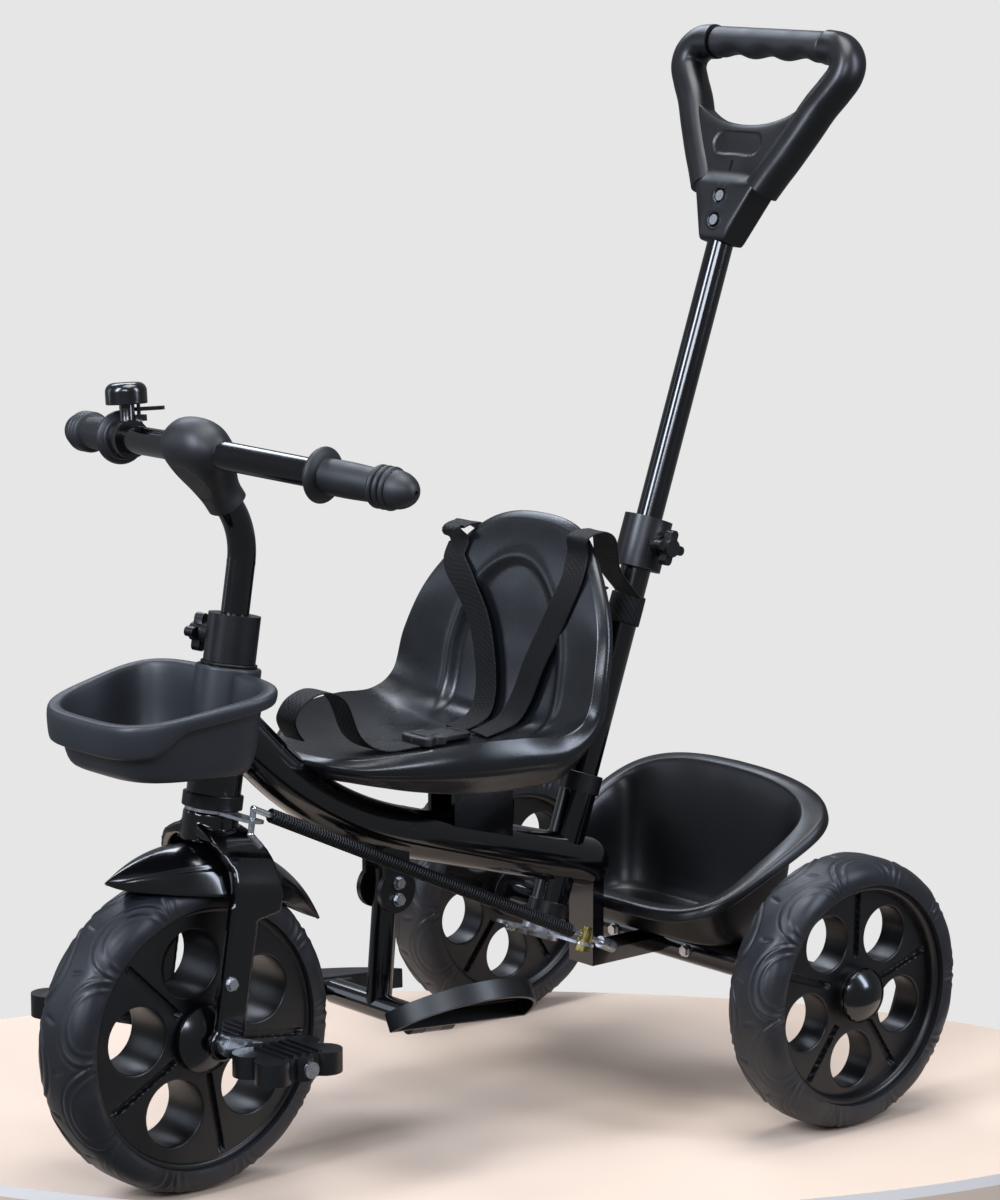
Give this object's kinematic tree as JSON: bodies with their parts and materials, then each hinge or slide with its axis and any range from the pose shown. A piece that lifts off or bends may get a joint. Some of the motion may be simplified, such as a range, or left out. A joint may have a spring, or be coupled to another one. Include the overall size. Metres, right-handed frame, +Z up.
{
  "type": "toddler push tricycle",
  "caption": "Toddler tricycle with a bucket seat, foam tyres, pedals on the front wheel, baskets, and a push bar whose handle steers the fork through a sprung link rod.",
  "frame": {"origin": "on the floor under the middle of the trike's overall box", "axes": "+X forward, +Y to the rider's left, +Z up"},
  "size_m": [0.7621, 0.502, 0.8802],
  "materials": {
    "black_paint": "gloss black powder coat",
    "zinc_steel": "bright zinc plate",
    "black_plastic": "moulded, fine grain",
    "glossy_plastic": "moulded, semi-gloss",
    "foam_tyre": "foamed EVA with a shallow tread",
    "webbing": "woven polypropylene",
    "spring_wire": "blackened spring steel",
    "brass": "pale plated brass"
  },
  "bodies": {
    "frame": {"main_beam": "black_paint", "head_tube": "black_paint", "tube_bushes": "black_plastic", "push_socket": "black_paint", "axle_tube": "black_paint", "rear_stay": "black_paint", "rear_axle": "zinc_steel", "axle_washers": "zinc_steel", "seat": "glossy_plastic", "seat_bracket": "black_paint", "frame_bolts": "zinc_steel", "front_basket": "black_plastic", "rear_basket": "black_plastic", "footrest_bracket": "black_plastic", "footrest_bolts": "zinc_steel", "footrest_frame": "black_paint", "shoulder_strap_left": "webbing", "shoulder_strap_right": "webbing", "front_strap": "webbing", "buckle": "black_plastic"},
    "steering": {"fork": "black_paint", "fender": "glossy_plastic", "steering_lever": "zinc_steel", "stem_collar": "black_plastic", "fork_screws": "zinc_steel"},
    "handlebar": {"stem": "black_paint", "handlebar": "black_paint", "grip_left": "black_plastic", "grip_right": "black_plastic", "bar_cover": "black_plastic", "bell_base": "black_plastic", "bell_dome": "black_paint"},
    "bell_striker": {"bell_striker": "black_plastic"},
    "stem_knob": {"stem_knob": "black_plastic"},
    "front_wheel": {"front_wheel": "black_plastic", "front_tyre": "foam_tyre", "front_hub_caps": "black_plastic", "crank_axle": "zinc_steel"},
    "pedal_left": {"pedal_left": "black_plastic"},
    "pedal_right": {"pedal_right": "black_plastic"},
    "rear_wheel_left": {"rear_wheel_left": "black_plastic", "rear_tyre_left": "foam_tyre", "rear_hub_cap_left": "black_plastic"},
    "rear_wheel_right": {"rear_wheel_right": "black_plastic", "rear_tyre_right": "foam_tyre", "rear_hub_cap_right": "black_plastic"},
    "push_bar": {"push_tube_lower": "black_paint", "push_collar": "black_plastic", "push_lever": "zinc_steel"},
    "push_knob": {"push_knob": "black_plastic"},
    "push_handle": {"push_tube_upper": "black_paint", "push_handle": "black_plastic", "push_grip": "black_plastic", "handle_screws": "zinc_steel"},
    "steering_rod": {"link_rod": "zinc_steel", "link_spring": "spring_wire", "link_clamp": "brass"},
    "footplate_left": {"footplate_left": "black_plastic"},
    "footplate_right": {"footplate_right": "black_plastic"}
  },
  "joints": [
    {"name": "steer", "type": "hinge", "parent": "frame", "child": "steering", "pos_m": [0.22374, 0, 0.32237], "axis": [-0.1616, 0, 0.9869], "range_deg": [-20, 20]},
    {"name": "handlebar_height", "type": "slide", "parent": "steering", "child": "handlebar", "axis": [-0.1616, 0, 0.9869], "range_m": [-0.02, 0.03]},
    {"name": "bell_striker", "type": "hinge", "parent": "handlebar", "child": "bell_striker", "pos_m": [0.20857, -0.11584, 0.60057], "axis": [-0.019, -0.1028, 0.9945], "range_deg": [-25, 0], "stiffness_Nm_per_rad": 0.01},
    {"name": "stem_knob_turn", "type": "hinge", "parent": "steering", "child": "stem_knob", "pos_m": [0.20611, 0, 0.43004], "axis": [0.2554, -0.9659, 0.0418], "continuous": true},
    {"name": "front_wheel_spin", "type": "hinge", "parent": "steering", "child": "front_wheel", "pos_m": [0.25606, 0, 0.125], "axis": [0, 1, 0], "continuous": true},
    {"name": "pedal_left_spin", "type": "hinge", "parent": "front_wheel", "child": "pedal_left", "pos_m": [0.22372, 0.085, 0.11449], "axis": [0, 1, 0], "continuous": true},
    {"name": "pedal_right_spin", "type": "hinge", "parent": "front_wheel", "child": "pedal_right", "pos_m": [0.2884, -0.085, 0.13551], "axis": [0, 1, 0], "continuous": true},
    {"name": "rear_left_spin", "type": "hinge", "parent": "frame", "child": "rear_wheel_left", "pos_m": [-0.24894, 0.216, 0.112], "axis": [0, 1, 0], "continuous": true},
    {"name": "rear_right_spin", "type": "hinge", "parent": "frame", "child": "rear_wheel_right", "pos_m": [-0.24894, -0.216, 0.112], "axis": [0, 1, 0], "continuous": true},
    {"name": "push_bar_turn", "type": "hinge", "parent": "frame", "child": "push_bar", "pos_m": [-0.13194, 0, 0.20083], "axis": [-0.3322, 0, 0.9432], "range_deg": [-20, 20]},
    {"name": "push_knob_turn", "type": "hinge", "parent": "push_bar", "child": "push_knob", "pos_m": [-0.22212, 0, 0.45691], "axis": [0, 1, 0], "continuous": true},
    {"name": "push_handle_height", "type": "slide", "parent": "push_bar", "child": "push_handle", "axis": [-0.3322, 0, 0.9432], "range_m": [-0.2, 0.03]},
    {"name": "steering_rod_turn", "type": "hinge", "parent": "push_bar", "child": "steering_rod", "pos_m": [-0.11096, 0.052, 0.14126], "axis": [-0.3322, 0.0238, 0.9429], "range_deg": [-23, 23]},
    {"name": "footplate_left_fold", "type": "hinge", "parent": "frame", "child": "footplate_left", "pos_m": [0.06351, 0.064, 0.10967], "axis": [0.9962, 0, 0.0872], "range_deg": [-38, 40]},
    {"name": "footplate_right_fold", "type": "hinge", "parent": "frame", "child": "footplate_right", "pos_m": [0.06351, -0.064, 0.10967], "axis": [-0.9962, 0, -0.0872], "range_deg": [0, 80]}
  ],
  "couplings": [
    {"joint": "push_bar_turn", "follows": "steer", "ratio": 1},
    {"joint": "steering_rod_turn", "follows": "steer", "ratio": -1.0003}
  ]
}
